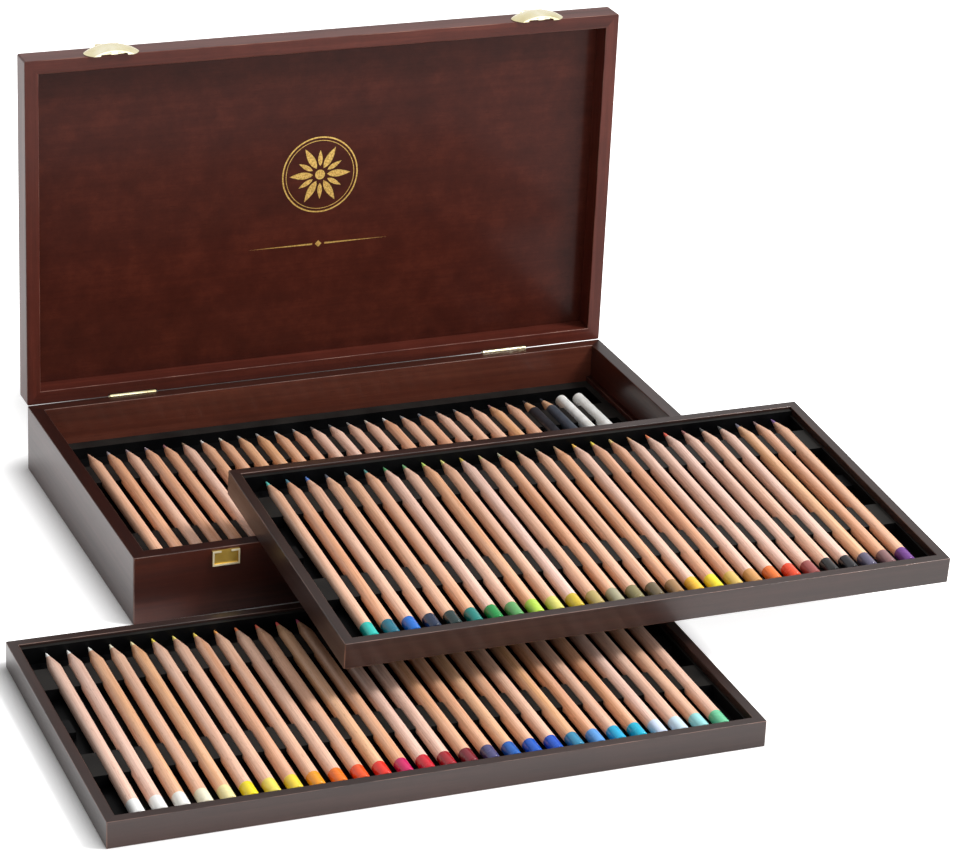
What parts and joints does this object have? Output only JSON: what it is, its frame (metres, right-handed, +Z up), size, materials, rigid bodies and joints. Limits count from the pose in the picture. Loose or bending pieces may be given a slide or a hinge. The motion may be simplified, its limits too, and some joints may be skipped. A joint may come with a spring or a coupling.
{
  "type": "pencil box with lift-out trays",
  "caption": "Hinged wooden pencil box with a standing lid, brass hinges and domed latches, and lift-out trays whose notched inserts hold rows of coloured pencils.",
  "frame": {"origin": "centre of the base's underside", "axes": "+X to the right along the hinges, +Y towards the hinged back, +Z up"},
  "size_m": [0.527, 0.4743, 0.2688],
  "materials": {
    "dark_wood": "satin lacquer",
    "lid_panel_lacquer": "gloss lacquer",
    "insert_plastic": "matte",
    "brass": "polished",
    "cedar": "smooth, unpainted",
    "coloured_core": "waxy",
    "dipped_cap": "gloss",
    "graphite_barrel": "gloss lacquer with bare cone",
    "graphite": "graphite sheen",
    "blender_wax": "waxy"
  },
  "bodies": {
    "base": {"base_front_wall": "dark_wood", "base_back_wall": "dark_wood", "base_left_wall": "dark_wood", "base_right_wall": "dark_wood", "base_bottom_board": "dark_wood", "base_insert": "insert_plastic", "left_hinge_base_leaf": "brass", "right_hinge_base_leaf": "brass", "left_hinge_pin": "brass", "right_hinge_pin": "brass", "base_hinge_screws": "brass", "left_catch_plate": "brass", "right_catch_plate": "brass", "base_left_ledge": "dark_wood", "base_right_ledge": "dark_wood"},
    "lid": {"lid_hinge_wall": "dark_wood", "lid_latch_wall": "dark_wood", "lid_left_wall": "dark_wood", "lid_right_wall": "dark_wood", "lid_panel": "lid_panel_lacquer", "left_hinge_lid_leaf": "brass", "right_hinge_lid_leaf": "brass", "lid_hinge_screws": "brass", "left_latch_plate": "brass", "right_latch_plate": "brass", "latch_plate_screws": "brass", "left_latch_pin": "brass", "right_latch_pin": "brass"},
    "left_latch": {"left_latch_flap": "brass"},
    "right_latch": {"right_latch_flap": "brass"},
    "base_pencils": {"base_pencil_barrels": "cedar", "base_pencil_leads": "coloured_core", "base_pencil_caps": "dipped_cap", "base_graphite_barrels": "graphite_barrel", "base_graphite_leads": "graphite", "base_blender_sticks": "blender_wax"},
    "front_tray": {"front_tray_front_wall": "dark_wood", "front_tray_back_wall": "dark_wood", "front_tray_left_wall": "dark_wood", "front_tray_right_wall": "dark_wood", "front_tray_bottom_board": "dark_wood", "front_tray_insert": "insert_plastic"},
    "front_tray_pencils": {"front_tray_pencil_barrels": "cedar", "front_tray_pencil_leads": "coloured_core", "front_tray_pencil_caps": "dipped_cap"},
    "middle_tray": {"middle_tray_front_wall": "dark_wood", "middle_tray_back_wall": "dark_wood", "middle_tray_left_wall": "dark_wood", "middle_tray_right_wall": "dark_wood", "middle_tray_bottom_board": "dark_wood", "middle_tray_insert": "insert_plastic"},
    "middle_tray_pencils": {"middle_tray_pencil_barrels": "cedar", "middle_tray_pencil_leads": "coloured_core", "middle_tray_pencil_caps": "dipped_cap"}
  },
  "joints": [
    {"name": "lid_hinge", "type": "hinge", "parent": "base", "child": "lid", "pos_m": [0, 0.11075, 0.042], "axis": [-1, 0, 0], "range_deg": [-82.5, 0]},
    {"name": "left_latch_swing", "type": "hinge", "parent": "lid", "child": "left_latch", "pos_m": [-0.138, 0.12527, 0.2648], "axis": [-1, 0, 0], "range_deg": [0, 100]},
    {"name": "right_latch_swing", "type": "hinge", "parent": "lid", "child": "right_latch", "pos_m": [0.138, 0.12527, 0.2648], "axis": [-1, 0, 0], "range_deg": [0, 100]},
    {"name": "front_tray_slide", "type": "slide", "parent": "base", "child": "front_tray", "axis": [0, -1, 0], "range_m": [0, 0.15]},
    {"name": "middle_tray_slide", "type": "slide", "parent": "base", "child": "middle_tray", "axis": [1, 0, 0], "range_m": [-0.07, 0.15]},
    {"name": "base_pencils_lift", "type": "slide", "parent": "base", "child": "base_pencils", "axis": [0, 0, 1], "range_m": [0, 0.018]},
    {"name": "front_tray_pencils_lift", "type": "slide", "parent": "front_tray", "child": "front_tray_pencils", "axis": [0, 0, 1], "range_m": [0, 0.015]},
    {"name": "middle_tray_pencils_lift", "type": "slide", "parent": "middle_tray", "child": "middle_tray_pencils", "axis": [0, -0.0595, 0.9982], "range_m": [0, 0.015]}
  ]
}
